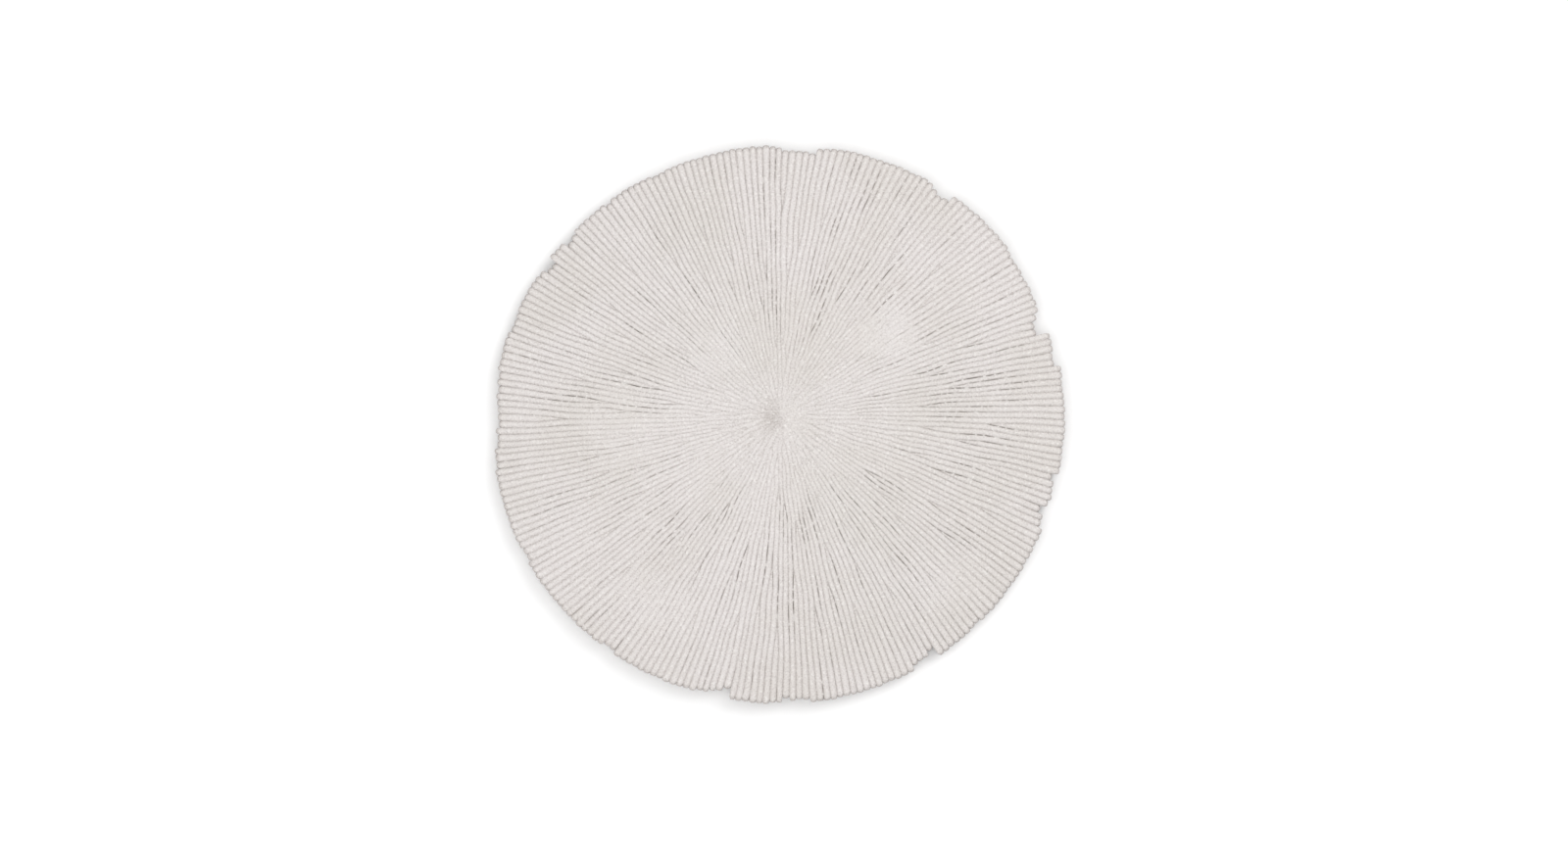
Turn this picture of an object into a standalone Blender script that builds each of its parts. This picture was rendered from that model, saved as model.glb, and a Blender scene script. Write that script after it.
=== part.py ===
"""Mushroom coral disc: the one-piece skeleton of a solitary coral, lying flat.

A low lens-shaped plate whose upper side is covered with close, rounded ribs. The ribs start round a small
oval scar, new ones push in between the old as the circle widens, and each ends in a rounded tongue at the
rim. Several stretches of the rim are chipped. The underside has fainter ribs near the rim, which run out
into the worn flat that the disc rests on.

Metres, +Z up. The origin is on the resting plane, under the middle of the outline.
"""

import math
import random
from collections import namedtuple

import bmesh
import bpy

OBJECT_NAME = "coral_disc"
TURN = 2.0 * math.pi

# Outline, seen from above
DISC_RADIUS = 0.0651
OUTLINE_WAVES = (  # order, height, direction of its first peak in degrees
    (2, 0.00094, 16.0),
    (3, 0.00032, 51.0),
    (4, 0.00019, 41.0),
)
GROWTH_CENTRE = (0.0002, 0.0017)
SWIRL = math.radians(2.5)

# Thickness of the plate
CENTRE_HEIGHT = 0.0105
RIM_HEIGHT = 0.0047
RIM_UNDERSIDE = 0.0014
REST_RADIUS = 0.042
REST_WAVES = (  # order, reach of the worn flat's edge, direction of its first peak in degrees
    (2, 0.0016, 140.0),
    (3, 0.0011, 75.0),
    (7, 0.0005, 10.0),
    (19, 0.0004, 3.0),
    (31, 0.0003, 8.0),
)
PLATE_WAVES = (  # order, height at the rim, direction of its first peak in degrees
    (2, 0.00035, 100.0),
    (3, 0.00025, 20.0),
    (5, 0.00015, 64.0),
)

# Scar and lip at the middle: place from the growth centre, half lengths, height
SCAR_PLACE = (-0.0021, -0.0006)
SCAR_HALF = (0.0023, 0.0032)
SCAR_DEPTH = 0.0011
LIP_PLACE = (0.0024, 0.0)
LIP_HALF = (0.0032, 0.0050)
LIP_HEIGHT = 0.0005

# Ribs
FOUNDERS = 16
BROODS = (  # each brood starts one rib between every two older ones, between these radii
    (0.0008, 0.0040),
    (0.0045, 0.0090),
    (0.0085, 0.0160),
    (0.0160, 0.0470),
)
RIB_COUNT = FOUNDERS * 2 ** len(BROODS)
FIRST_GROWTH = 0.0022
GROWTH_SHARE = 0.16
THINNEST = 0.10
VIGOUR_SPREAD = 0.10
BIRTH_SPREAD = 0.06
SETTLING = 16
RIB_RELIEF_SHARE = 0.34
SMOOTH_RADIUS = 0.024
SMOOTH_SHARE = 0.30
UNDERSIDE_SHARE = 0.55

# Rim: tongues, how unevenly their tips end, more so where a chip is deep, and where the rim is chipped
TONGUE_DEPTH = 0.00055
TIP_SPREAD = 0.00012
BREAK_SPREAD = 0.00035
RAGGED_CHIP = 0.0010
CHIP_REACH = 0.14
Chip = namedtuple("Chip", "start end start_depth end_depth")
CHIPS = (  # degrees round from +X, metres
    Chip(3.0, 9.0, 0.0002, 0.0003),
    Chip(12.0, 19.4, 0.0009, 0.0009),
    Chip(19.4, 23.6, 0.0032, 0.0026),
    Chip(23.6, 25.4, 0.0011, 0.0013),
    Chip(25.4, 31.0, 0.0013, 0.0013),
    Chip(31.0, 37.0, 0.0012, 0.0002),
    Chip(52.5, 54.5, 0.0009, 0.0023),
    Chip(54.5, 58.0, 0.0020, 0.0004),
    Chip(80.0, 82.5, 0.0004, 0.0008),
    Chip(82.5, 89.0, 0.0014, 0.0011),
    Chip(89.0, 92.0, 0.0008, 0.0003),
    Chip(115.0, 117.0, 0.0003, 0.0002),
    Chip(127.2, 128.6, 0.0006, 0.0006),
    Chip(137.5, 140.2, 0.0007, 0.0010),
    Chip(144.8, 147.0, 0.0019, 0.0013),
    Chip(147.0, 149.3, 0.0009, 0.0004),
    Chip(157.0, 161.0, 0.0004, 0.0006),
    Chip(170.0, 178.0, 0.0004, 0.0013),
    Chip(178.0, 189.0, 0.0013, 0.0004),
    Chip(206.5, 209.0, 0.0007, 0.0004),
    Chip(231.0, 233.5, 0.0008, 0.0005),
    Chip(252.0, 259.3, 0.0003, 0.0020),
    Chip(268.0, 271.0, 0.0001, 0.0005),
    Chip(271.0, 276.0, 0.0011, 0.0006),
    Chip(299.0, 301.5, 0.0006, 0.0011),
    Chip(301.5, 303.8, 0.0019, 0.0018),
    Chip(313.5, 316.0, 0.0005, 0.0003),
    Chip(338.5, 340.8, 0.0005, 0.0010),
    Chip(340.8, 342.8, 0.0017, 0.0016),
    Chip(342.8, 345.6, 0.0006, 0.0005),
    Chip(345.6, 349.6, 0.0009, 0.0017),
)

# Rings of points, from the growth centre outward on top, by nominal radius
TOP_RINGS = (0.0014, 0.0030, 0.0052, 0.0088, 0.0135, 0.0200, 0.0285, 0.0385, 0.0510)
SHOULDER_RADIUS = 0.0641
UNDER_EDGE_RADIUS = 0.0642
UNDER_RIB_RADIUS = 0.0540

# Heights on the rim, as shares of its height above its lower edge
TIP_SHARE = 0.45
UNDER_RIB_SHARE = -0.22

# Bleached coral skeleton: warm off-white, matt
CORAL_COLOUR = (0.716, 0.680, 0.651, 1.0)
CORAL_ROUGHNESS = 0.88

SEED = 7
WELD = 0.000002
SHARP_ANGLE = math.radians(50.0)

Rib = namedtuple("Rib", "home birth vigour tip_jitter")


def smooth(value):
    """Ease from 0 to 1, flat at both ends."""
    value = min(max(value, 0.0), 1.0)
    return value * value * (3.0 - 2.0 * value)


def waves(angle, orders):
    """Sum of the named waves at this angle round the disc."""
    return sum(size * math.cos(order * (angle - math.radians(peak))) for order, size, peak in orders)


def outline_radius(angle):
    """Distance from the middle to the unchipped outline."""
    return DISC_RADIUS + waves(angle, OUTLINE_WAVES)


def chip_depth(angle):
    """How far the rim is broken back at this angle."""
    degrees = math.degrees(angle) % 360.0
    for chip in CHIPS:
        if chip.start <= degrees < chip.end:
            share = (degrees - chip.start) / (chip.end - chip.start)
            return chip.start_depth + share * (chip.end_depth - chip.start_depth)
    return 0.0


def growth_length(birth):
    """Distance over which a rib swells from nothing to its full width."""
    return FIRST_GROWTH + GROWTH_SHARE * birth


def new_rib(rng, home, birth):
    """Rib at its home angle, with its own vigour and the jitter of its tip."""
    vigour = 1.0 + rng.uniform(-VIGOUR_SPREAD, VIGOUR_SPREAD)
    return Rib(home, birth, vigour, rng.uniform(-1.0, 1.0))


def even_turn(place):
    """Share from 0 to 1 that keeps neighbours far apart in time: the place's binary digits, mirrored."""
    share = 0.0
    step = 0.5
    while place:
        share += step * (place % 2)
        place //= 2
        step *= 0.5
    return share


def make_ribs(rng):
    """Start the founders round the scar, then let each brood fill the gaps between its elders."""
    ribs = [new_rib(rng, TURN * i / FOUNDERS, 0.0) for i in range(FOUNDERS)]
    for first_birth, last_birth in BROODS:
        elders = ribs
        ribs = []
        for i, left in enumerate(elders):
            right = elders[(i + 1) % len(elders)]
            home = left.home + 0.5 * ((right.home - left.home) % TURN)
            turn = even_turn(i) + rng.uniform(-BIRTH_SPREAD, BIRTH_SPREAD)
            ready = max(elder.birth + growth_length(elder.birth) for elder in (left, right))
            birth = max(first_birth + turn * (last_birth - first_birth), ready)
            ribs += [left, new_rib(rng, home, birth)]
    return ribs


def rib_strength(rib, radius):
    """Pull of a rib on its grooves at this radius: nothing before its birth, then growing to full."""
    if rib.birth == 0.0:
        return rib.vigour
    grown = smooth((radius - rib.birth) / growth_length(rib.birth))
    return rib.vigour * grown if grown > THINNEST else 0.0


def grooves_between(angles, pulls):
    """Angle of the groove after each living rib, by the rib's pull against the next one's."""
    beside = angles[1:] + [angles[0] + TURN]
    return [angle + pull * (other - angle) for angle, pull, other in zip(angles, pulls, beside)]


def settled_grooves(homes, strengths):
    """Angle of the groove after each living rib, once every rib has moved to the middle of its room."""
    angles = list(homes)
    pulls = [own / (own + other) for own, other in zip(strengths, strengths[1:] + strengths[:1])]
    for _step in range(SETTLING):
        after = grooves_between(angles, pulls)
        before = [after[-1] - TURN] + after[:-1]
        angles = [0.5 * angle + 0.25 * (left + right) for angle, left, right in zip(angles, before, after)]
    return grooves_between(angles, pulls)


def rib_edges(ribs, radius):
    """Angles of the grooves at this radius, one before each rib and one after the last."""
    strengths = [rib_strength(rib, radius) for rib in ribs]
    alive = [i for i, strength in enumerate(strengths) if strength > 0.0]
    grooves = settled_grooves([ribs[i].home for i in alive], [strengths[i] for i in alive])
    edges = [0.0] * RIB_COUNT
    for left, right, groove in zip(alive, alive[1:] + [alive[0] + RIB_COUNT], grooves):
        for i in range(left + 1, right + 1):
            edges[i % RIB_COUNT] = groove - (TURN if i >= RIB_COUNT else 0.0)
    return edges + [edges[0] + TURN]


def tip_setbacks(ribs):
    """How far each rib stops short of the outline, by its place at the rim."""
    edges = rib_edges(ribs, DISC_RADIUS)
    setbacks = []
    for left, right, rib in zip(edges, edges[1:], ribs):
        chip = chip_depth(0.5 * (left + right))
        broken = min(chip / RAGGED_CHIP, 1.0)
        setbacks.append(chip + rib.tip_jitter * (TIP_SPREAD + broken * BREAK_SPREAD))
    return setbacks


def bump(x, y, place, half):
    """Round swelling of height 1 at a place, fading out over twice its half lengths."""
    away = math.hypot((x - place[0]) / half[0], (y - place[1]) / half[1])
    return math.exp(-away * away)


def top_height(x, y, reach, angle):
    """Height of the upper side between the ribs' crests."""
    lens = RIM_HEIGHT + (CENTRE_HEIGHT - RIM_HEIGHT) * (1.0 - reach * reach)
    from_centre = (x - GROWTH_CENTRE[0], y - GROWTH_CENTRE[1])
    scar = SCAR_DEPTH * bump(*from_centre, SCAR_PLACE, SCAR_HALF)
    lip = LIP_HEIGHT * bump(*from_centre, LIP_PLACE, LIP_HALF)
    return lens + lip - scar + waves(angle, PLATE_WAVES) * reach * reach


def rib_relief(radius, arc):
    """Height of a rib of this arc width above its grooves: low near the middle."""
    fade = SMOOTH_SHARE + (1.0 - SMOOTH_SHARE) * smooth(radius / SMOOTH_RADIUS)
    return RIB_RELIEF_SHARE * arc * fade


def ring_points(ribs, radius, tips, tongue, height_at, relief_sign, edge_waves=()):
    """Points of one ring, a groove and a crest for each rib.

    tips are how far the ribs stop short of the outline, and tongue how much further the grooves do.
    height_at gives the crests' height from x, y, reach and angle. relief_sign is above 0 where the grooves
    are cut into the upper side and below 0 underneath. edge_waves move the ring in and out. A rib that isn't
    born yet has both its points in the groove between its elders.
    """
    edges = rib_edges(ribs, radius)
    reach = radius / DISC_RADIUS
    turn = SWIRL * (1.0 - reach)
    born = sum(1 for i in range(RIB_COUNT) if edges[i + 1] > edges[i])
    mean_relief = relief_sign * rib_relief(radius, TURN * radius / born)
    near_rim = smooth((reach - 1.0 + CHIP_REACH) / CHIP_REACH)

    def point(angle, setback, rise):
        length = reach * outline_radius(angle) + waves(angle, edge_waves) - setback
        x = GROWTH_CENTRE[0] * (1.0 - reach) + length * math.cos(angle)
        y = GROWTH_CENTRE[1] * (1.0 - reach) + length * math.sin(angle)
        return x, y, max(height_at(x, y, reach, angle) - mean_relief + rise, 0.0)

    points = []
    for i in range(RIB_COUNT):
        arc = radius * (edges[i + 1] - edges[i])
        middle = 0.5 * (edges[i] + edges[i + 1])
        groove = point(edges[i] + turn, near_rim * max(tips[i], tips[i - 1]) + tongue, 0.0)
        crest = point(middle + turn, near_rim * tips[i], relief_sign * rib_relief(radius, arc))
        points += [groove, crest if arc > 0.0 else groove]
    return points


def rim_height(share):
    """Height function for the rim, this share of the way up it."""
    def height(_x, _y, reach, angle):
        wave = waves(angle, PLATE_WAVES)
        return RIM_UNDERSIDE + share * (RIM_HEIGHT - RIM_UNDERSIDE) + wave * reach * reach
    return height


def flat_height(_x, _y, _reach, _angle):
    """Height function for the worn flat underneath."""
    return 0.0


def disc_rings(ribs):
    """All rings of the disc, from the growth centre over the rim to the worn flat it rests on."""
    tips = tip_setbacks(ribs)
    under = -UNDERSIDE_SHARE
    rings = [ring_points(ribs, radius, tips, 0.0, top_height, 1.0) for radius in TOP_RINGS]
    rings.append(ring_points(ribs, SHOULDER_RADIUS, tips, 0.5 * TONGUE_DEPTH, top_height, 1.0))
    rings.append(ring_points(ribs, DISC_RADIUS, tips, TONGUE_DEPTH, rim_height(TIP_SHARE), 0.0))
    rings.append(ring_points(ribs, UNDER_EDGE_RADIUS, tips, TONGUE_DEPTH, rim_height(0.0), under))
    rings.append(ring_points(ribs, UNDER_RIB_RADIUS, tips, 0.0, rim_height(UNDER_RIB_SHARE), under))
    rings.append(ring_points(ribs, REST_RADIUS, tips, 0.0, flat_height, 0.0, REST_WAVES))
    return rings


def loft_rings(rings):
    """Join the rings with faces, close the middle on top and the flat underneath, and weld unborn ribs."""
    mesh = bmesh.new()
    loops = [[mesh.verts.new(point) for point in ring] for ring in rings]
    columns = len(loops[0])
    for inner, outer in zip(loops, loops[1:]):
        for i in range(columns):
            j = (i + 1) % columns
            mesh.faces.new((inner[i], outer[i], outer[j], inner[j]))
    mesh.faces.new(loops[0])
    mesh.faces.new(reversed(loops[-1]))
    bmesh.ops.remove_doubles(mesh, verts=mesh.verts, dist=WELD)
    bmesh.ops.recalc_face_normals(mesh, faces=mesh.faces)
    return mesh


def centre_on_origin(mesh):
    """Move the mesh so that the middle of its outline is over the origin."""
    xs = [vert.co.x for vert in mesh.verts]
    ys = [vert.co.y for vert in mesh.verts]
    middle = (-0.5 * (min(xs) + max(xs)), -0.5 * (min(ys) + max(ys)), 0.0)
    bmesh.ops.translate(mesh, verts=mesh.verts, vec=middle)


def coral_material():
    """Matt, warm off-white of a bleached coral skeleton."""
    material = bpy.data.materials.new("bleached_coral_skeleton")
    material.use_nodes = True
    shader = material.node_tree.nodes["Principled BSDF"]
    shader.inputs["Base Color"].default_value = CORAL_COLOUR
    shader.inputs["Roughness"].default_value = CORAL_ROUGHNESS
    shader.inputs["Metallic"].default_value = 0.0
    return material


def make_disc(collection):
    """Build the disc as one closed mesh object."""
    ribs = make_ribs(random.Random(SEED))
    mesh = loft_rings(disc_rings(ribs))
    centre_on_origin(mesh)
    data = bpy.data.meshes.new(OBJECT_NAME)
    mesh.to_mesh(data)
    mesh.free()
    data.shade_smooth()
    data.set_sharp_from_angle(angle=SHARP_ANGLE)
    data.materials.append(coral_material())
    disc = bpy.data.objects.new(OBJECT_NAME, data)
    collection.objects.link(disc)
    return disc


def main():
    """Clear the scene and build the disc in its own collection."""
    for old in list(bpy.data.objects):
        bpy.data.objects.remove(old, do_unlink=True)
    collection = bpy.data.collections.new("mushroom_coral_disc")
    bpy.context.scene.collection.children.link(collection)
    make_disc(collection)


main()
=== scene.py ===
"""Mushroom coral disc with its fine ribs, slots and grain, on a plain pale floor in soft studio light."""

import math
import random
from collections import namedtuple

import bmesh
import bpy
import numpy as np
from bpy.props import FloatProperty, FloatVectorProperty, IntProperty, PointerProperty
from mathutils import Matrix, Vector, noise


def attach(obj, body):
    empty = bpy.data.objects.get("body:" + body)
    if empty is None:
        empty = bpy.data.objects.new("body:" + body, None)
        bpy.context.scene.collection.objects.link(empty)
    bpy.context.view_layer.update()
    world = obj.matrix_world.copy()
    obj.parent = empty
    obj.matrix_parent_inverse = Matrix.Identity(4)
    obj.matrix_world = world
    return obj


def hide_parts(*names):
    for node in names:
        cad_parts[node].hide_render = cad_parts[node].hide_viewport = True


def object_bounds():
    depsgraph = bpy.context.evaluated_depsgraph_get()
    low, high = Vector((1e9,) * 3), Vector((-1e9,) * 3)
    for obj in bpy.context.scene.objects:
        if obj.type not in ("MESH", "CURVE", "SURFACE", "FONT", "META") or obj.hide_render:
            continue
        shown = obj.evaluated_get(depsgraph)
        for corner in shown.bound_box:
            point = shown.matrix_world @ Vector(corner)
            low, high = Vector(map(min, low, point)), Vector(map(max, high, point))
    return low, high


bl_info = {
    "name": "Mushroom Coral Disc",
    "version": (1, 0, 0),
    "blender": (4, 5, 0),
    "location": "3D View > Sidebar > Coral",
    "description": "Grows a ribbed mushroom coral disc and lights it on a pale floor",
    "category": "Add Mesh",
}

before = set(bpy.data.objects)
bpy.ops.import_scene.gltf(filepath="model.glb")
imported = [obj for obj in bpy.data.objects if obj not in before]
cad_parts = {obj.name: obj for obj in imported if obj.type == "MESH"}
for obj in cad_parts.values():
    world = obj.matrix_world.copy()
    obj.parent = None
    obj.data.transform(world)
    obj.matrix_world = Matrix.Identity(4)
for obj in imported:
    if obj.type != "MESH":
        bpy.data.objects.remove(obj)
CAD_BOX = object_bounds()
NODE = "coral_disc"
PIECE = "ribbed_coral_disc"

MM = 0.001
TURN = 2.0 * math.pi

# The photograph's size, and the middle of the disc's outline in it
PHOTO_SIZE = (1600, 886)
DISC_PIXEL = (795.8, 433.3)

# Outline seen from above: mean radius, and waves as order, height and direction of the first peak
DISC_RADIUS = 65.1 * MM
OUTLINE_WAVES = ((2, 0.94 * MM, 16.0), (3, 0.32 * MM, 51.0), (4, 0.19 * MM, 41.0))
GROWTH_CENTRE = (0.2 * MM, 1.7 * MM)
SWIRL = math.radians(2.5)

# Thickness of the plate: heights of its upper side, and of its underside at the rim
CENTRE_HEIGHT = 10.5 * MM
RIM_HEIGHT = 4.7 * MM
RIM_UNDERSIDE = 1.4 * MM
UNDERSIDE_SWEEP = 1.2
PLATE_WAVES = ((2, 0.35 * MM, 100.0), (3, 0.25 * MM, 20.0), (5, 0.15 * MM, 64.0))

# Worn flat that the disc rests on, and the waves of its edge
REST_RADIUS = 42.0 * MM
REST_WAVES = (
    (2, 1.6 * MM, 140.0),
    (3, 1.1 * MM, 75.0),
    (7, 0.5 * MM, 10.0),
    (19, 0.4 * MM, 3.0),
    (31, 0.3 * MM, 8.0),
)

# Scar and lip on top, and the hollow underneath where the young coral was fixed: place from the growth
# centre, half lengths, and depth or height
SCAR_PLACE = (-2.1 * MM, -0.6 * MM)
SCAR_HALF = (2.3 * MM, 3.2 * MM)
SCAR_DEPTH = 1.1 * MM
LIP_PLACE = (2.4 * MM, 0.0 * MM)
LIP_HALF = (3.2 * MM, 5.0 * MM)
LIP_HEIGHT = 0.5 * MM
HOLD_PLACE = (0.5 * MM, -0.8 * MM)
HOLD_HALF = (6.5 * MM, 5.2 * MM)
HOLD_DEPTH = 0.7 * MM

# How much of the ribs the scar and the lip take away
SCAR_WEAR = 0.8

# Ribs: sixteen founders, then broods that start between two elders, between these radii
FOUNDERS = 16
BROODS = ((0.8 * MM, 4.0 * MM), (4.5 * MM, 9.0 * MM), (8.5 * MM, 16.0 * MM), (16.0 * MM, 47.0 * MM))
RIB_COUNT = FOUNDERS * 2 ** len(BROODS)
FIRST_GROWTH = 2.2 * MM
GROWTH_SHARE = 0.16
THINNEST = 0.10
VIGOUR_SPREAD = 0.10
BIRTH_SPREAD = 0.06
SETTLING = 16
SMOOTH_RADIUS = 40.0 * MM
SMOOTH_SHARE = 0.62
RIB_SEED = 7

# Chips in the rim: start and end in degrees round from +X, and the depth at each
Chip = namedtuple("Chip", "start end start_mm end_mm")
CHIPS = (
    Chip(3.0, 9.0, 0.2, 0.3),
    Chip(12.0, 19.4, 0.9, 0.9),
    Chip(19.4, 23.6, 3.2, 2.6),
    Chip(23.6, 25.4, 1.1, 1.3),
    Chip(25.4, 31.0, 1.3, 1.3),
    Chip(31.0, 37.0, 1.2, 0.2),
    Chip(52.5, 54.5, 0.9, 2.3),
    Chip(54.5, 58.0, 2.0, 0.4),
    Chip(80.0, 82.5, 0.4, 0.8),
    Chip(82.5, 89.0, 1.4, 1.1),
    Chip(89.0, 92.0, 0.8, 0.3),
    Chip(115.0, 117.0, 0.3, 0.2),
    Chip(127.2, 128.6, 0.6, 0.6),
    Chip(137.5, 140.2, 0.7, 1.0),
    Chip(144.8, 147.0, 1.9, 1.3),
    Chip(147.0, 149.3, 0.9, 0.4),
    Chip(157.0, 161.0, 0.4, 0.6),
    Chip(170.0, 178.0, 0.4, 1.3),
    Chip(178.0, 189.0, 1.3, 0.4),
    Chip(206.5, 209.0, 0.7, 0.4),
    Chip(231.0, 233.5, 0.8, 0.5),
    Chip(252.0, 259.3, 0.3, 2.0),
    Chip(268.0, 271.0, 0.1, 0.5),
    Chip(271.0, 276.0, 1.1, 0.6),
    Chip(299.0, 301.5, 0.6, 1.1),
    Chip(301.5, 303.8, 1.9, 1.8),
    Chip(313.5, 316.0, 0.5, 0.3),
    Chip(338.5, 340.8, 0.5, 1.0),
    Chip(340.8, 342.8, 1.7, 1.6),
    Chip(342.8, 345.6, 0.6, 0.5),
    Chip(345.6, 349.6, 0.9, 1.7),
)
TIP_SPREAD = 0.12 * MM
BREAK_SPREAD = 0.35 * MM
RAGGED_CHIP = 1.0 * MM
CHIP_REACH = 0.14

# Where the grooves open into dark slots: direction and half width in degrees, radius and half length in
# millimetres, and strength. A zone fades out from its middle to this many half widths squared.
ZONE_REACH = 1.6
Zone = namedtuple("Zone", "angle half_angle radius_mm half_length_mm strength")
SLOT_ZONES = (
    Zone(5.0, 22.0, 42.0, 13.0, 0.85),
    Zone(48.0, 9.0, 39.0, 8.0, 0.7),
    Zone(70.0, 12.0, 27.0, 8.0, 0.4),
    Zone(103.0, 14.0, 30.0, 9.0, 0.4),
    Zone(135.0, 14.0, 34.0, 11.0, 0.6),
    Zone(168.0, 12.0, 36.0, 12.0, 0.6),
    Zone(190.0, 9.0, 48.0, 8.0, 0.4),
    Zone(213.0, 12.0, 36.0, 11.0, 0.7),
    Zone(243.0, 14.0, 27.0, 9.0, 0.5),
    Zone(270.0, 18.0, 33.0, 14.0, 0.55),
    Zone(300.0, 18.0, 32.0, 14.0, 0.65),
    Zone(330.0, 18.0, 37.0, 14.0, 0.8),
)

# Where the ribs are worn low
WORN_ZONES = (
    Zone(39.0, 10.0, 31.0, 6.0, 0.5),
    Zone(135.0, 12.0, 22.0, 5.0, 0.2),
    Zone(183.0, 14.0, 36.0, 8.0, 0.25),
    Zone(236.0, 10.0, 50.0, 6.0, 0.25),
    Zone(317.0, 8.0, 55.0, 5.0, 0.25),
)

# Places of the points across a rib, from one groove (-1) over the crest (0) towards the next
FINE_PHASES = (-1.0, -0.8, -0.45, 0.0, 0.45, 0.8)
PLAIN_PHASES = (-1.0, -0.5, -0.5, 0.0, 0.5, 0.5)
WELD = 0.002 * MM

# A rib's cross-section: how broad its crest is (2 is round, more is flatter), and how steep its sides are
ROUND = 2.1
SIDE_POWER = 0.6

# How closely the slots and the broken gaps between rib ends keep to the grooves
SLOT_POWER = 6
GAP_POWER = 8

# Rows of points, from the growth centre to the rim: start, end and spacing in millimetres. The last stretch
# ends where the rim is rounded over.
TOP_STRETCHES = ((0.6, 6.0, 0.9), (6.0, 16.0, 0.95), (16.0, 52.0, 0.85))
OUTER_START_MM = 52.0
OUTER_STEP_MM = 1.3

# Rows over the rounded rim, as turns from straight up in radians, and how square the rounding is
RIM_TURNS = (0.0, 0.3, 0.55, 0.8, 1.1, 1.57, 2.1, 2.7)
RIM_OUT_POWER = 0.9
RIM_DOWN_POWER = 0.85

# Rows underneath, from the rim to the worn flat, across its edge, and to the middle, in millimetres
RISING_ROWS_MM = (62.5, 59.5, 56.0, 52.5, 49.3)
EDGE_ROW_MM = 45.5
FLAT_ROWS_MM = (37.5, 32.0, 26.0, 20.0, 14.5, 10.0, 6.5, 3.5, 1.2)

# What is left of the underside's ribs at the edge of the worn flat, and on it
EDGE_WEAR = 0.7
FLAT_WEAR = 0.45

# How deep below the crests the painted groove shade is darkest: a fixed depth, and a share of a rib's width
GROOVE_SHADE_DEPTH = 0.08 * MM
GROOVE_SHADE_SHARE = 0.26

# Even darkening round the middle, where the ribs are finest: how strong, and how far out it reaches
MIDDLE_DARKENING = 0.25
MIDDLE_RADIUS = 28.0 * MM

# Slots along a groove: first radius, how open a groove stays at its cross-bridges, how soon it is fully open
# beside one, and how unevenly the bridges are spaced
FIRST_SLOTS = 12.0 * MM
BRIDGED = 0.4
OPENING = 0.5
SWAY = 1.7
SWAY_PACE = 0.37

# How far a groove opens: each groove's own luck, a slow rise and fall along it, and the zones above
LUCK_RANGE = (-0.5, 0.35)
SLOW = 0.13
SLOW_SHARE = 0.3
ZONE_SHARE = 0.35

# Slot lengths vary between these shares of the set length, from groove to groove
LENGTH_RANGE = (0.7, 1.6)
START_RANGE = (0.0, 300.0)

# Sideways stray and broad swells: their lengths, how much higher swells are than lumps, and the height below
# which the resting face stays flat
STRAY_LENGTH = 7.0 * MM
SWELL_LENGTH = 9.0 * MM
SWELL_SHARE = 1.5
FLAT_BELOW = 0.35 * MM

# Patterns per metre: warmer patches about 18 mm across, and the paper's fibres about 1 mm long
PATCHES_PER_METRE = 55.0
FIBRES_PER_METRE = 900.0

# Pale flecks to each grain, and depth of the grain's relief as a share of its size
FLECKS_PER_GRAIN = 0.6
GRAIN_RELIEF = 0.3

# How much painted shade each place gets: in the grooves (together with the darkening round the middle), in
# the scar, and on the rim's outward face
PAINTED_SHADE_SHARES = (("hollow", 0.5), ("pit", 0.45), ("side", 0.75))

# Lights: place in metres from the disc, and width. The floor reaches far past the picture.
OVERHEAD_PLACE = (-0.2, -0.15, 1.1)
OVERHEAD_WIDTH = 1.4
KEY_PLACE = (0.56, 0.52, 0.8)
KEY_WIDTH = 0.7
FILL_PLACE = (-0.6, -0.5, 0.22)
FILL_WIDTH = 0.4
FLOOR_REACH = 2.5

# What the mesh tells its material at each point: depth in the grooves, depth in the scar, how far the surface
# faces sideways (these three become painted shade), millimetres from the groove, travel along the groove's
# slots, and how far those are open
SURFACE_VALUES = ("hollow", "pit", "side", "across", "travel", "gape")

Rib = namedtuple("Rib", "home birth vigour tip_jitter")
Row = namedtuple("Row", "radius height_at lean relief phases edge_waves")


def linear(hex_code):
    """Linear colour of an sRGB hex code."""
    parts = [int(hex_code[i:i + 2], 16) / 255.0 for i in (0, 2, 4)]
    return [part / 12.92 if part <= 0.04045 else ((part + 0.055) / 1.055) ** 2.4 for part in parts]


class CoralSizes(bpy.types.PropertyGroup):
    """Sizes of the disc's fine surface."""

    rib_relief: FloatProperty(
        name="Rib relief", description="Height of a rib as a share of its width",
        default=0.325, min=0.1, max=0.8)
    edge_round: FloatProperty(
        name="Edge rounding", description="Width of the rim that is rounded over",
        default=1.1 * MM, unit="LENGTH")
    slot_depth: FloatProperty(
        name="Slot depth", description="Depth of the open slots below the grooves",
        default=0.45 * MM, unit="LENGTH")
    slot_width: FloatProperty(
        name="Slot width", description="Width of the open slots", default=0.20 * MM, unit="LENGTH")
    slot_length: FloatProperty(
        name="Slot length", description="Distance from one cross-bridge to the next",
        default=2.6 * MM, unit="LENGTH")
    lump_height: FloatProperty(
        name="Lump height", description="Unevenness along the ribs", default=0.06 * MM, unit="LENGTH")
    lump_length: FloatProperty(
        name="Lump length", description="Distance between the lumps along a rib",
        default=1.6 * MM, unit="LENGTH")
    waver: FloatProperty(
        name="Waver", description="How far the ribs stray sideways", default=0.16 * MM, unit="LENGTH")
    under_relief: FloatProperty(
        name="Underside relief", description="Rib height underneath, as a share of that on top",
        default=0.6, min=0.0, max=1.0)
    grain: FloatProperty(
        name="Grain", description="Size of the skeleton's sugary grain, as drawn",
        default=0.35 * MM, unit="LENGTH")
    seed: IntProperty(name="Seed", description="Which growth of lumps and slots", default=11)


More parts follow.
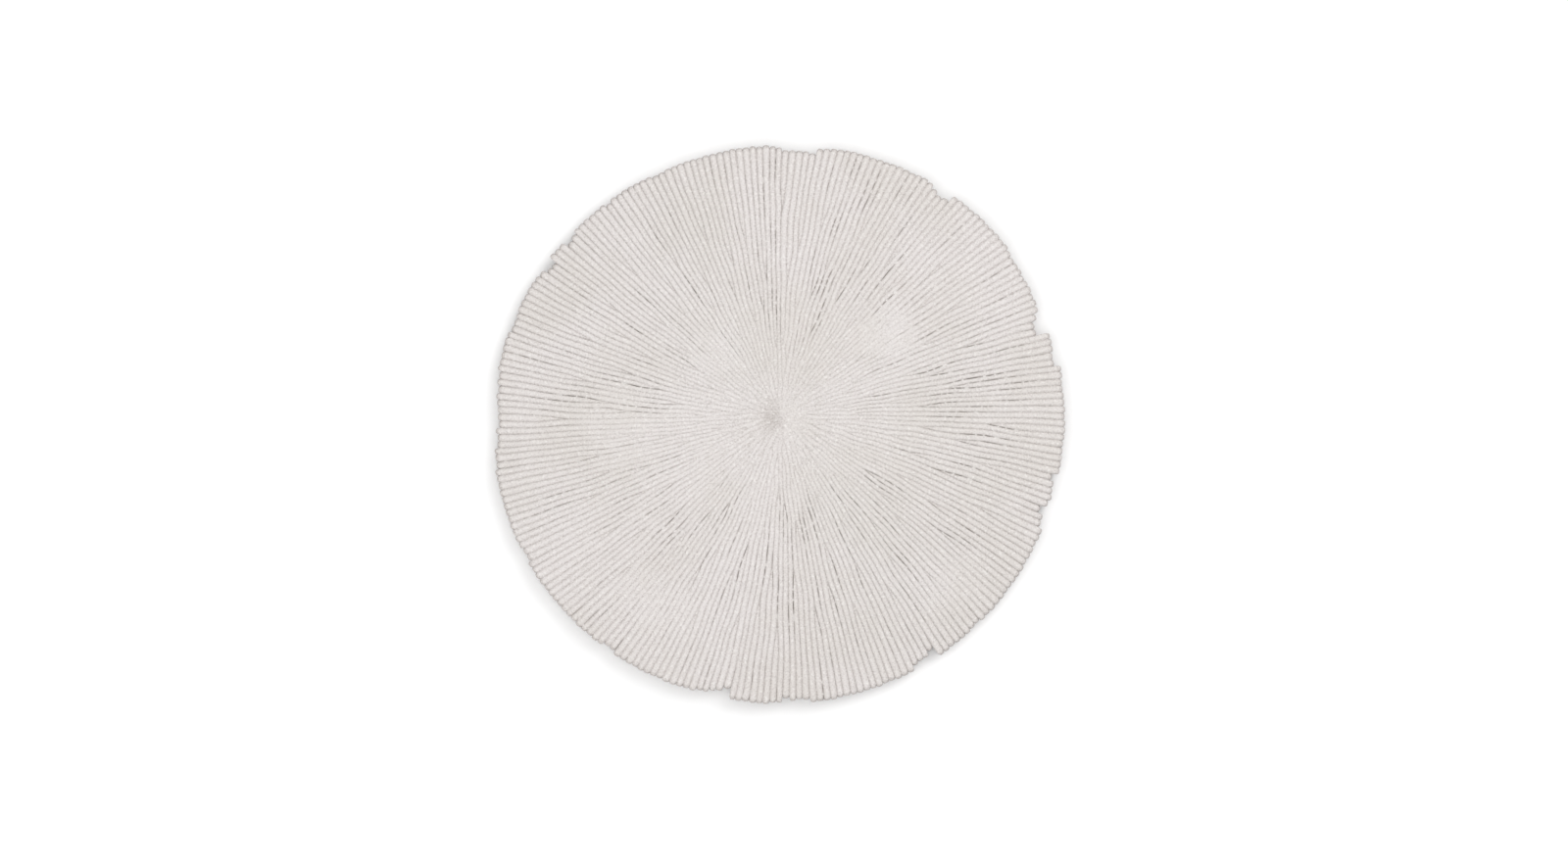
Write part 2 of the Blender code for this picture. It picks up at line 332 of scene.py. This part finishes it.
class CoralColours(bpy.types.PropertyGroup):
    """Colours of the coral and the floor under it."""

    crest: FloatVectorProperty(
        name="Crest", description="Bleached tops of the ribs",
        subtype="COLOR", size=3, default=linear("DAD5D3"))
    mottle: FloatVectorProperty(
        name="Mottle", description="Faint warmer patches", subtype="COLOR", size=3, default=linear("D5D0CC"))
    # Darker speckle at random, and painted shade in the grooves, the scar and on the rim's outward face
    groove: FloatVectorProperty(
        name="Groove", description="Dust in the grooves", subtype="COLOR", size=3, default=linear("AFA8A4"))
    # Pale flecks of the grain, and painted highlight on the cross-bridges between the slots
    bridge: FloatVectorProperty(
        name="Bridge", description="Clean cross-bridges between the slots",
        subtype="COLOR", size=3, default=linear("EAE7E4"))
    slot: FloatVectorProperty(
        name="Slot", description="Shaded depth of the slots",
        subtype="COLOR", size=3, default=linear("918A84"))
    floor: FloatVectorProperty(
        name="Floor", description="Plain pale floor", subtype="COLOR", size=3, default=linear("F7F7F7"))


class CoralStudio(bpy.types.PropertyGroup):
    """Camera and lights."""

    frame_width: FloatProperty(
        name="Frame width", description="Width of the picture at the disc's rim",
        default=359.0 * MM, unit="LENGTH")
    lens: FloatProperty(name="Lens", description="Focal length in millimetres", default=85.0)
    overhead_power: FloatProperty(
        name="Overhead power", description="Watts of the large soft light above", default=7.3)
    key_power: FloatProperty(
        name="Key power", description="Watts of the light from the upper right", default=5.0)
    fill_power: FloatProperty(
        name="Fill power", description="Watts of the low light from the lower left", default=1.1)
    sky_strength: FloatProperty(name="Sky", description="Even light from all round", default=0.52)


def smooth(value):
    """Ease from 0 to 1, flat at both ends. Works on numbers and arrays."""
    value = np.clip(value, 0.0, 1.0)
    return value * value * (3.0 - 2.0 * value)


def waves(angle, orders):
    """Sum of the waves at this angle round the disc."""
    total = 0.0 * angle
    for order, size, peak in orders:
        total = total + size * np.cos(order * (angle - math.radians(peak)))
    return total


def outline_radius(angle):
    """Distance from the middle to the unchipped outline."""
    return DISC_RADIUS + waves(angle, OUTLINE_WAVES)


def chip_depth(angle):
    """How far the rim is broken back at this angle."""
    degrees = math.degrees(angle) % 360.0
    for chip in CHIPS:
        if chip.start <= degrees < chip.end:
            share = (degrees - chip.start) / (chip.end - chip.start)
            return (chip.start_mm + share * (chip.end_mm - chip.start_mm)) * MM
    return 0.0


def growth_length(birth):
    """Distance over which a rib swells from nothing to its full width."""
    return FIRST_GROWTH + GROWTH_SHARE * birth


def new_rib(rng, home, birth):
    """Rib at its home angle, with its own vigour and the jitter of its tip."""
    vigour = 1.0 + rng.uniform(-VIGOUR_SPREAD, VIGOUR_SPREAD)
    return Rib(home, birth, vigour, rng.uniform(-1.0, 1.0))


def even_turn(place):
    """Share from 0 to 1 that keeps neighbours far apart in time: the place's binary digits, mirrored."""
    share = 0.0
    step = 0.5
    while place:
        share += step * (place % 2)
        place //= 2
        step *= 0.5
    return share


def make_ribs():
    """Start the founders round the scar, then let each brood fill the gaps between its elders."""
    rng = random.Random(RIB_SEED)
    ribs = [new_rib(rng, TURN * i / FOUNDERS, 0.0) for i in range(FOUNDERS)]
    for first_birth, last_birth in BROODS:
        elders = ribs
        ribs = []
        for i, left in enumerate(elders):
            right = elders[(i + 1) % len(elders)]
            home = left.home + 0.5 * ((right.home - left.home) % TURN)
            turn = even_turn(i) + rng.uniform(-BIRTH_SPREAD, BIRTH_SPREAD)
            ready = max(elder.birth + growth_length(elder.birth) for elder in (left, right))
            birth = max(first_birth + turn * (last_birth - first_birth), ready)
            ribs += [left, new_rib(rng, home, birth)]
    return ribs


def rib_strength(rib, radius):
    """Pull of a rib on its grooves at this radius: nothing before its birth, then growing to full."""
    if rib.birth == 0.0:
        return rib.vigour
    grown = float(smooth((radius - rib.birth) / growth_length(rib.birth)))
    return rib.vigour * grown if grown > THINNEST else 0.0


def settled_grooves(homes, strengths):
    """Angle of the groove after each living rib, once every rib has moved to the middle of its room."""
    angles = homes.copy()
    pull = strengths / (strengths + np.roll(strengths, -1))
    for _step in range(SETTLING):
        after = angles + pull * ((np.roll(angles, -1) - angles) % TURN)
        before = np.roll(after, 1)
        before[0] -= TURN
        angles += 0.5 * (0.5 * (before + after) - angles)
    return angles + pull * ((np.roll(angles, -1) - angles) % TURN)


def rib_edges(ribs, radius):
    """Angles of the grooves at this radius, and for each groove the rib that stands on its far side."""
    strengths = np.array([rib_strength(rib, radius) for rib in ribs])
    alive = np.flatnonzero(strengths)
    homes = np.array([ribs[i].home for i in alive])
    grooves = settled_grooves(homes, strengths[alive])
    edges = np.zeros(RIB_COUNT + 1)
    owners = np.zeros(RIB_COUNT + 1, dtype=int)
    for left, right, groove in zip(alive, [*alive[1:], alive[0] + RIB_COUNT], grooves):
        for i in range(left + 1, right + 1):
            edges[i % RIB_COUNT] = groove - (TURN if i >= RIB_COUNT else 0.0)
            owners[i % RIB_COUNT] = right % RIB_COUNT
    edges[-1] = edges[0] + TURN
    owners[-1] = owners[0]
    return edges, owners


def tip_setbacks(ribs):
    """How far each rib stops short of the outline, by its place at the rim."""
    edges, _owners = rib_edges(ribs, DISC_RADIUS)
    setbacks = []
    for left, right, rib in zip(edges[:-1], edges[1:], ribs):
        chip = chip_depth(0.5 * (left + right))
        broken = min(chip / RAGGED_CHIP, 1.0)
        setbacks.append(chip + rib.tip_jitter * (TIP_SPREAD + broken * BREAK_SPREAD))
    return np.array(setbacks)


def bump(x, y, place, half):
    """Round swelling of height 1 at a place from the growth centre."""
    away_x = (x - GROWTH_CENTRE[0] - place[0]) / half[0]
    away_y = (y - GROWTH_CENTRE[1] - place[1]) / half[1]
    return np.exp(-(away_x * away_x + away_y * away_y))


def zone_share(zones, angle, radius):
    """How strongly any of the zones is felt at this place, from 0 to 1."""
    share = 0.0 * angle
    for zone in zones:
        turn = (np.degrees(angle) - zone.angle + 180.0) % 360.0 - 180.0
        along = (radius / MM - zone.radius_mm) / zone.half_length_mm
        away = (turn / zone.half_angle) ** 2 + along ** 2
        share = np.maximum(share, zone.strength * smooth(ZONE_REACH - away))
    return share


def top_height(x, y, reach, angle):
    """Height of the upper side, between the ribs' crests and grooves."""
    lens = RIM_HEIGHT + (CENTRE_HEIGHT - RIM_HEIGHT) * (1.0 - reach * reach)
    scar = SCAR_DEPTH * bump(x, y, SCAR_PLACE, SCAR_HALF)
    lip = LIP_HEIGHT * bump(x, y, LIP_PLACE, LIP_HALF)
    return lens + lip - scar + waves(angle, PLATE_WAVES) * reach * reach


def under_height(_x, _y, reach, angle):
    """Height of the underside: nothing on the worn flat, rising to the rim."""
    rest = REST_RADIUS / DISC_RADIUS
    rise = np.clip((reach - rest) / (1.0 - rest), 0.0, 1.0)
    return RIM_UNDERSIDE * rise ** UNDERSIDE_SWEEP + waves(angle, PLATE_WAVES) * reach * reach * rise


def flat_height(x, y, _reach, _angle):
    """Height of the worn flat, with the hollow where the young coral was fixed."""
    return HOLD_DEPTH * bump(x, y, HOLD_PLACE, HOLD_HALF)


def edge_height(turn, start):
    """Height function on the rounded rim, from the top (0) to the underside (pi), beyond the reach start."""
    share = 0.5 + 0.5 * math.copysign(abs(math.cos(turn)) ** RIM_DOWN_POWER, math.cos(turn))

    def height(x, y, _reach, angle):
        top = top_height(x, y, start, angle)
        low = under_height(x, y, start, angle)
        return low + share * (top - low)
    return height


def row_radii(stretches):
    """Radii of rows spaced evenly in each stretch, given as start, end and step in millimetres."""
    radii = []
    for start, end, step in stretches:
        count = max(1, round((end - start) / step))
        radii += [(start + (end - start) * i / count) * MM for i in range(count)]
    return radii


def disc_rows(sizes):
    """Rows of points from the growth centre over the top and the rounded rim to the middle underneath."""
    edge_start = DISC_RADIUS - sizes.edge_round
    under = sizes.under_relief
    rows = [Row(0.0, top_height, 0.0, 0.0, FINE_PHASES, ())]
    outer_stretch = (OUTER_START_MM, edge_start / MM, OUTER_STEP_MM)
    for radius in row_radii((*TOP_STRETCHES, outer_stretch)):
        rows.append(Row(radius, top_height, 0.0, 1.0, FINE_PHASES, ()))
    for turn in RIM_TURNS:
        radius = edge_start + sizes.edge_round * math.sin(turn) ** RIM_OUT_POWER
        relief = 1.0 + (under - 1.0) * turn / math.pi
        height_at = edge_height(turn, edge_start / DISC_RADIUS)
        rows.append(Row(radius, height_at, turn, relief, FINE_PHASES, ()))
    for radius in RISING_ROWS_MM:
        rows.append(Row(radius * MM, under_height, math.pi, under, PLAIN_PHASES, ()))
    half_waves = tuple((order, 0.5 * size, peak) for order, size, peak in REST_WAVES)
    rows.append(Row(EDGE_ROW_MM * MM, under_height, math.pi, under, PLAIN_PHASES, half_waves))
    rows.append(Row(REST_RADIUS, flat_height, math.pi, EDGE_WEAR * under, PLAIN_PHASES, REST_WAVES))
    for radius in FLAT_ROWS_MM:
        rows.append(Row(radius * MM, flat_height, math.pi, FLAT_WEAR * under, PLAIN_PHASES, ()))
    rows.append(Row(0.0, flat_height, math.pi, 0.0, PLAIN_PHASES, ()))
    return rows


def slot_pulse(travel):
    """Rise and fall of the slots along a groove, unevenly spaced."""
    return np.sin(travel + SWAY * np.sin(SWAY_PACE * travel))


def row_points(row, ribs, tips, spells, sizes):
    """Points of one row, as an array of ribs by phases, and what the material needs to know at each."""
    reach = row.radius / DISC_RADIUS
    edges, owners = rib_edges(ribs, row.radius)
    left, right = edges[:-1], edges[1:]
    arcs = row.radius * (right - left)
    crests = 0.5 * (left + right)
    born = max(1, int(np.count_nonzero(arcs > 0.0)))

    phases = np.array(row.phases)[None, :]
    before = phases < 0.0
    half_turns = 0.5 * (right - left)[:, None]
    swirled = crests[:, None] + half_turns * phases + SWIRL * (1.0 - reach)
    across = row.radius * half_turns * (1.0 - np.abs(phases))
    owner = np.where(before, owners[:-1][:, None], owners[1:][:, None])

    near_rim = float(smooth((reach - 1.0 + CHIP_REACH) / CHIP_REACH))
    beside = np.where(before, np.roll(tips, 1)[:, None], np.roll(tips, -1)[:, None])
    own = np.broadcast_to(tips[:, None], beside.shape)
    shared = np.maximum(own, beside)
    setback = near_rim * (own + (shared - own) * np.abs(phases) ** GAP_POWER)

    length = reach * outline_radius(swirled) + waves(swirled, row.edge_waves) - setback
    x = GROWTH_CENTRE[0] * (1.0 - reach) + length * np.cos(swirled)
    y = GROWTH_CENTRE[1] * (1.0 - reach) + length * np.sin(swirled)
    z = row.height_at(x, y, reach, swirled)

    fade = SMOOTH_SHARE + (1.0 - SMOOTH_SHARE) * float(smooth(row.radius / SMOOTH_RADIUS))
    upper = max(0.0, math.cos(row.lean))
    worn = 1.0 - upper * zone_share(WORN_ZONES, swirled, row.radius)
    # Nearness to the scar: the ribs are worn low there, and the material paints shade there
    pit = upper * bump(x, y, SCAR_PLACE, SCAR_HALF)
    bare = 1.0 - SCAR_WEAR * upper * np.maximum(pit, bump(x, y, LIP_PLACE, LIP_HALF))
    scale = sizes.rib_relief * row.relief * fade * worn * bare
    mean_arc = TURN * row.radius / born
    profile = (1.0 - np.abs(phases) ** ROUND) ** SIDE_POWER
    standing = scale * (arcs[:, None] * profile - mean_arc)
    middle = MIDDLE_DARKENING * upper * (1.0 - float(smooth(row.radius / MIDDLE_RADIUS)))
    # Painted shade that deepens down into the groove, on top of the darkening round the middle
    hollow = middle + np.clip(-standing / (GROOVE_SHADE_DEPTH + GROOVE_SHADE_SHARE * mean_arc), 0.0, 1.0)

    period, start, luck = (spell[owner] for spell in spells)
    travel = TURN * row.radius / period + start
    spell = luck + SLOW_SHARE * np.sin(SLOW * travel)
    spell = spell + ZONE_SHARE * zone_share(SLOT_ZONES, swirled, row.radius)
    gape = upper * worn * smooth(spell) * float(smooth((row.radius - FIRST_SLOTS) / FIRST_SLOTS))
    open_here = BRIDGED + (1.0 - BRIDGED) * smooth(slot_pulse(travel) / OPENING)
    # A rib that is just being born still lies at the bottom of the slot
    grown = np.minimum(2.0 * arcs, mean_arc)[:, None] / max(mean_arc, WELD)
    in_slot = 1.0 - grown * (1.0 - np.abs(phases) ** SLOT_POWER)
    standing = standing - sizes.slot_depth * gape * open_here * in_slot

    out = math.sin(row.lean)
    x = x + out * standing * np.cos(swirled)
    y = y + out * standing * np.sin(swirled)
    z = z + math.cos(row.lean) * standing
    # How far the surface faces sideways, which the material paints as shade on the rim's outward face
    side = np.full_like(x, out)
    return np.stack([x, y, np.maximum(z, 0.0), hollow, pit, side, across / MM, travel, gape], axis=-1)


def unsettle(points, sizes):
    """Small natural unevenness of a point: lumps up and down, and a sideways stray that neighbours share."""
    # The vector noise starts from the clock unless it is given a seed
    noise.seed_set(sizes.seed)
    offset = Vector((sizes.seed * 1.7, sizes.seed * 0.9, 0.0))
    moved = np.empty_like(points)
    for i, point in enumerate(points):
        place = Vector(point)
        stray = noise.noise_vector(place / STRAY_LENGTH + offset)
        lump = noise.noise(place / sizes.lump_length + offset)
        swell = noise.noise(place / SWELL_LENGTH - offset)
        moved[i, 0] = point[0] + sizes.waver * stray[0]
        moved[i, 1] = point[1] + sizes.waver * stray[1]
        lift = sizes.lump_height * (lump + SWELL_SHARE * swell)
        moved[i, 2] = point[2] + lift if point[2] > FLAT_BELOW else point[2]
    return moved


def fit_to_box(points, box):
    """Bring the points' outer limits onto the solid's box."""
    low, high = (np.array(corner) for corner in box)
    own_low, own_high = points.min(axis=0), points.max(axis=0)
    return low + (points - own_low) * (high - low) / (own_high - own_low)


def make_spells(sizes):
    """Period, start and luck of the slots in each groove."""
    rng = np.random.default_rng(sizes.seed)
    period = sizes.slot_length * rng.uniform(*LENGTH_RANGE, RIB_COUNT)
    start = rng.uniform(*START_RANGE, RIB_COUNT)
    luck = rng.uniform(*LUCK_RANGE, RIB_COUNT)
    return period, start, luck


def grow_mesh(sizes):
    """Loft all rows into one closed mesh and weld the points of ribs that aren't born yet."""
    ribs = make_ribs()
    tips = tip_setbacks(ribs)
    spells = make_spells(sizes)
    rows = [row_points(row, ribs, tips, spells, sizes) for row in disc_rows(sizes)]
    values = np.concatenate([row.reshape(-1, 3 + len(SURFACE_VALUES)) for row in rows])
    points = fit_to_box(unsettle(values[:, :3], sizes), CAD_BOX)

    columns = RIB_COUNT * len(FINE_PHASES)
    first = np.arange((len(rows) - 1) * columns)
    beside = first // columns * columns + (first + 1) % columns
    faces = np.stack([first, first + columns, beside + columns, beside], axis=-1)

    data = bpy.data.meshes.new(PIECE)
    data.from_pydata(points.tolist(), [], faces.tolist())
    for i, name in enumerate(SURFACE_VALUES):
        data.attributes.new(name, "FLOAT", "POINT").data.foreach_set("value", values[:, 3 + i])

    mesh = bmesh.new()
    mesh.from_mesh(data)
    bmesh.ops.remove_doubles(mesh, verts=mesh.verts, dist=WELD)
    bmesh.ops.recalc_face_normals(mesh, faces=mesh.faces)
    mesh.to_mesh(data)
    mesh.free()
    data.shade_smooth()
    return data


def add_node(tree, kind, settings=None, links=None):
    """Add one shader node, with its settings and what feeds it."""
    node = tree.nodes.new(kind)
    for name, value in (settings or {}).items():
        if isinstance(name, int) or name in node.inputs:
            node.inputs[name].default_value = value
        else:
            setattr(node, name, value)
    for name, socket in (links or {}).items():
        tree.links.new(socket, node.inputs[name])
    return node


def new_material(name):
    """Empty node material with its Principled shader."""
    material = bpy.data.materials.new(name)
    material.use_nodes = True
    return material, material.node_tree, material.node_tree.nodes["Principled BSDF"]


def colour_mix(tree, share, low, high):
    """Mix two colours, each a socket or a plain colour."""
    settings = {"data_type": "RGBA"}
    links = {0: share}
    for place, colour in ((6, low), (7, high)):
        if isinstance(colour, bpy.types.NodeSocket):
            links[place] = colour
        else:
            settings[place] = (*colour, 1.0)
    return add_node(tree, "ShaderNodeMix", settings, links).outputs[2]


def surface_value(tree, name):
    """What the mesh says at this point."""
    return add_node(tree, "ShaderNodeAttribute", {"attribute_name": name}).outputs["Fac"]


def maths(tree, operation, *values):
    """Sum, product or other operation on numbers and sockets."""
    settings = {"operation": operation}
    links = {}
    for i, value in enumerate(values):
        if isinstance(value, bpy.types.NodeSocket):
            links[i] = value
        else:
            settings[i] = value
    return add_node(tree, "ShaderNodeMath", settings, links).outputs[0]


def eased(tree, value, low, high, top=1.0):
    """Smooth rise from 0 at the low value to the top at the high one."""
    settings = {"interpolation_type": "SMOOTHSTEP", "From Min": low, "From Max": high, "To Max": top}
    return add_node(tree, "ShaderNodeMapRange", settings, {"Value": value}).outputs["Result"]


def slot_masks(tree, sizes):
    """Shares of short dark slots in the grooves, which get painted shade, and of the painted highlight on the
    cross-bridges between them.
    """
    travel = surface_value(tree, "travel")
    sway = maths(tree, "MULTIPLY", maths(tree, "SINE", maths(tree, "MULTIPLY", travel, SWAY_PACE)), SWAY)
    swing = maths(tree, "SINE", maths(tree, "ADD", travel, sway))
    open_here = maths(tree, "MULTIPLY_ADD", eased(tree, swing, 0.0, OPENING), 1.0 - BRIDGED, BRIDGED)
    bridged_here = eased(tree, maths(tree, "MULTIPLY", swing, -1.0), 0.75, 0.95)
    gape = surface_value(tree, "gape")
    half_width = 0.5 * sizes.slot_width / MM
    across = surface_value(tree, "across")
    in_slot = maths(tree, "SUBTRACT", 1.0, eased(tree, across, 0.5 * half_width, 1.5 * half_width))
    on_bridge = maths(tree, "SUBTRACT", 1.0, eased(tree, across, half_width, 2.5 * half_width))
    slots = maths(tree, "MULTIPLY", maths(tree, "MULTIPLY", open_here, gape), in_slot)
    return slots, maths(tree, "MULTIPLY", maths(tree, "MULTIPLY", bridged_here, gape), on_bridge)


def bleached_coral(colours, sizes):
    """Coral aragonite, grown as fibres and bleached by sun and sea.

    It is chalky and unglazed, so highlights spread wide, and its sugary grain breaks up the light. Crests are
    palest; grooves, the scar and the rim's outward face are painted with shade, the slots with darker painted
    shade, and the cross-bridges with a painted highlight. The real grain is 0.1 to 0.2 mm, too fine to show
    from this far, so grain and flecks are drawn two to four times as coarse.
    """
    material, tree, shader = new_material("bleached_coral_aragonite")
    coords = add_node(tree, "ShaderNodeTexCoord").outputs["Object"]
    grains_per_metre = 1.0 / sizes.grain

    patches = add_node(
        tree, "ShaderNodeTexNoise", {"Scale": PATCHES_PER_METRE, "Detail": 3.0}, {"Vector": coords})
    specks = add_node(
        tree, "ShaderNodeTexNoise", {"Scale": grains_per_metre, "Detail": 2.0, "Roughness": 0.6},
        {"Vector": coords})
    flecks = add_node(
        tree, "ShaderNodeTexNoise", {"Scale": FLECKS_PER_GRAIN * grains_per_metre, "Detail": 1.0},
        {"Vector": coords})
    grains = add_node(tree, "ShaderNodeTexVoronoi", {"Scale": grains_per_metre}, {"Vector": coords})

    body = colour_mix(tree, eased(tree, patches.outputs["Fac"], 0.35, 0.7), colours.crest, colours.mottle)
    # Darker speckle at random, plus painted shade from the grooves' depth, the scar and the rim's outward
    # face, all drawn towards the groove colour
    speckle_and_shade = eased(tree, specks.outputs["Fac"], 0.4, 0.7, 0.6)
    for name, share in PAINTED_SHADE_SHARES:
        speckle_and_shade = maths(tree, "MULTIPLY_ADD", surface_value(tree, name), share, speckle_and_shade)
    body = colour_mix(tree, eased(tree, speckle_and_shade, 0.0, 1.3), body, colours.groove)
    slots, bridges = slot_masks(tree, sizes)
    body = colour_mix(tree, eased(tree, flecks.outputs["Fac"], 0.58, 0.72, 0.5), body, colours.bridge)
    # Painted shade in the open slots, and painted highlight on the cross-bridges between them
    body = colour_mix(tree, slots, body, colours.slot)
    body = colour_mix(tree, bridges, body, colours.bridge)
    tree.links.new(body, shader.inputs["Base Color"])

    roughness = add_node(
        tree, "ShaderNodeMapRange", {"To Min": 0.82, "To Max": 0.96}, {"Value": specks.outputs["Fac"]})
    tree.links.new(roughness.outputs["Result"], shader.inputs["Roughness"])
    shader.inputs["IOR"].default_value = 1.6

    relief = maths(tree, "MULTIPLY_ADD", specks.outputs["Fac"], 0.8, grains.outputs["Distance"])
    grain_bump = add_node(
        tree, "ShaderNodeBump", {"Strength": 0.7, "Distance": GRAIN_RELIEF * sizes.grain}, {"Height": relief})
    tree.links.new(grain_bump.outputs["Normal"], shader.inputs["Normal"])
    return material


def matt_floor(colours):
    """Smooth matt paper, so pale that it nearly vanishes and only the shadow under the disc shows."""
    material, tree, shader = new_material("matt_white_paper")
    coords = add_node(tree, "ShaderNodeTexCoord").outputs["Object"]
    fibres = add_node(
        tree, "ShaderNodeTexNoise", {"Scale": FIBRES_PER_METRE, "Detail": 2.0}, {"Vector": coords})
    tooth = add_node(
        tree, "ShaderNodeBump", {"Strength": 0.05, "Distance": 0.02 * MM}, {"Height": fibres.outputs["Fac"]})
    tree.links.new(tooth.outputs["Normal"], shader.inputs["Normal"])
    shader.inputs["Base Color"].default_value = (*colours.floor, 1.0)
    shader.inputs["Roughness"].default_value = 0.9
    shader.inputs["Specular IOR Level"].default_value = 0.2
    return material


class MESH_OT_grow_coral_disc(bpy.types.Operator):
    """Grow the ribbed disc in place of the plain solid"""

    bl_idname = "mesh.grow_coral_disc"
    bl_label = "Grow Coral Disc"

    def execute(self, context):
        scene = context.scene
        data = grow_mesh(scene.coral_sizes)
        data.materials.append(bleached_coral(scene.coral_colours, scene.coral_sizes))
        disc = bpy.data.objects.new(PIECE, data)
        scene.collection.objects.link(disc)
        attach(disc, "root")
        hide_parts(NODE)
        return {"FINISHED"}


class SCENE_OT_light_coral_studio(bpy.types.Operator):
    """Lay the pale floor, hang the soft lights and set the camera straight above"""

    bl_idname = "scene.light_coral_studio"
    bl_label = "Light Coral Studio"

    def execute(self, context):
        scene = context.scene
        studio = scene.coral_studio
        lay_floor(scene)
        add_area_light(scene, "overhead_softbox", OVERHEAD_PLACE, OVERHEAD_WIDTH, studio.overhead_power)
        add_area_light(scene, "upper_right_softbox", KEY_PLACE, KEY_WIDTH, studio.key_power)
        add_area_light(scene, "lower_left_fill", FILL_PLACE, FILL_WIDTH, studio.fill_power)
        light_sky(scene, studio.sky_strength)
        set_camera(scene, studio)
        scene.view_settings.view_transform = "Standard"
        return {"FINISHED"}


def lay_floor(scene):
    """Plain floor just under the disc."""
    mesh = bmesh.new()
    bmesh.ops.create_grid(mesh, x_segments=1, y_segments=1, size=FLOOR_REACH)
    data = bpy.data.meshes.new("floor")
    mesh.to_mesh(data)
    mesh.free()
    data.materials.append(matt_floor(scene.coral_colours))
    floor = bpy.data.objects.new("floor", data)
    scene.collection.objects.link(floor)


def add_area_light(scene, name, place, size, power):
    """Square softbox that faces the disc."""
    light = bpy.data.lights.new(name, "AREA")
    light.size = size
    light.energy = power
    lamp = bpy.data.objects.new(name, light)
    lamp.location = place
    lamp.rotation_euler = (-Vector(place)).to_track_quat("-Z", "Y").to_euler()
    scene.collection.objects.link(lamp)


def light_sky(scene, strength):
    """Even white light from all round."""
    world = bpy.data.worlds.new("studio_sky")
    world.use_nodes = True
    background = world.node_tree.nodes["Background"]
    background.inputs["Color"].default_value = (1.0, 1.0, 1.0, 1.0)
    background.inputs["Strength"].default_value = strength
    scene.world = world


def set_camera(scene, studio):
    """Camera straight above, with the disc where the photograph has it."""
    data = bpy.data.cameras.new("camera")
    data.lens = studio.lens
    camera = bpy.data.objects.new("camera", data)
    distance = studio.frame_width * studio.lens / data.sensor_width
    per_pixel = studio.frame_width / PHOTO_SIZE[0]
    across = (0.5 * PHOTO_SIZE[0] - DISC_PIXEL[0]) * per_pixel
    down = (0.5 * PHOTO_SIZE[1] - DISC_PIXEL[1]) * per_pixel
    camera.location = (across, -down, RIM_HEIGHT + distance)
    scene.collection.objects.link(camera)
    scene.camera = camera


class VIEW3D_PT_coral(bpy.types.Panel):
    """Everything about the coral in one place"""

    bl_label = "Mushroom Coral"
    bl_idname = "VIEW3D_PT_coral"
    bl_space_type = "VIEW_3D"
    bl_region_type = "UI"
    bl_category = "Coral"

    def draw(self, context):
        for group in (context.scene.coral_sizes, context.scene.coral_colours, context.scene.coral_studio):
            box = self.layout.box()
            for name in group.__annotations__:
                box.prop(group, name)
        self.layout.operator(MESH_OT_grow_coral_disc.bl_idname)
        self.layout.operator(SCENE_OT_light_coral_studio.bl_idname)


CLASSES = (
    CoralSizes, CoralColours, CoralStudio,
    MESH_OT_grow_coral_disc, SCENE_OT_light_coral_studio, VIEW3D_PT_coral,
)


def register():
    """Add the classes and their settings to Blender."""
    for each in CLASSES:
        bpy.utils.register_class(each)
    bpy.types.Scene.coral_sizes = PointerProperty(type=CoralSizes)
    bpy.types.Scene.coral_colours = PointerProperty(type=CoralColours)
    bpy.types.Scene.coral_studio = PointerProperty(type=CoralStudio)


def unregister():
    """Take the classes and their settings out again."""
    del bpy.types.Scene.coral_studio
    del bpy.types.Scene.coral_colours
    del bpy.types.Scene.coral_sizes
    for each in reversed(CLASSES):
        bpy.utils.unregister_class(each)


def main():
    """Grow the disc and light it."""
    register()
    bpy.ops.mesh.grow_coral_disc()
    bpy.ops.scene.light_coral_studio()


if __name__ == "__main__":
    main()
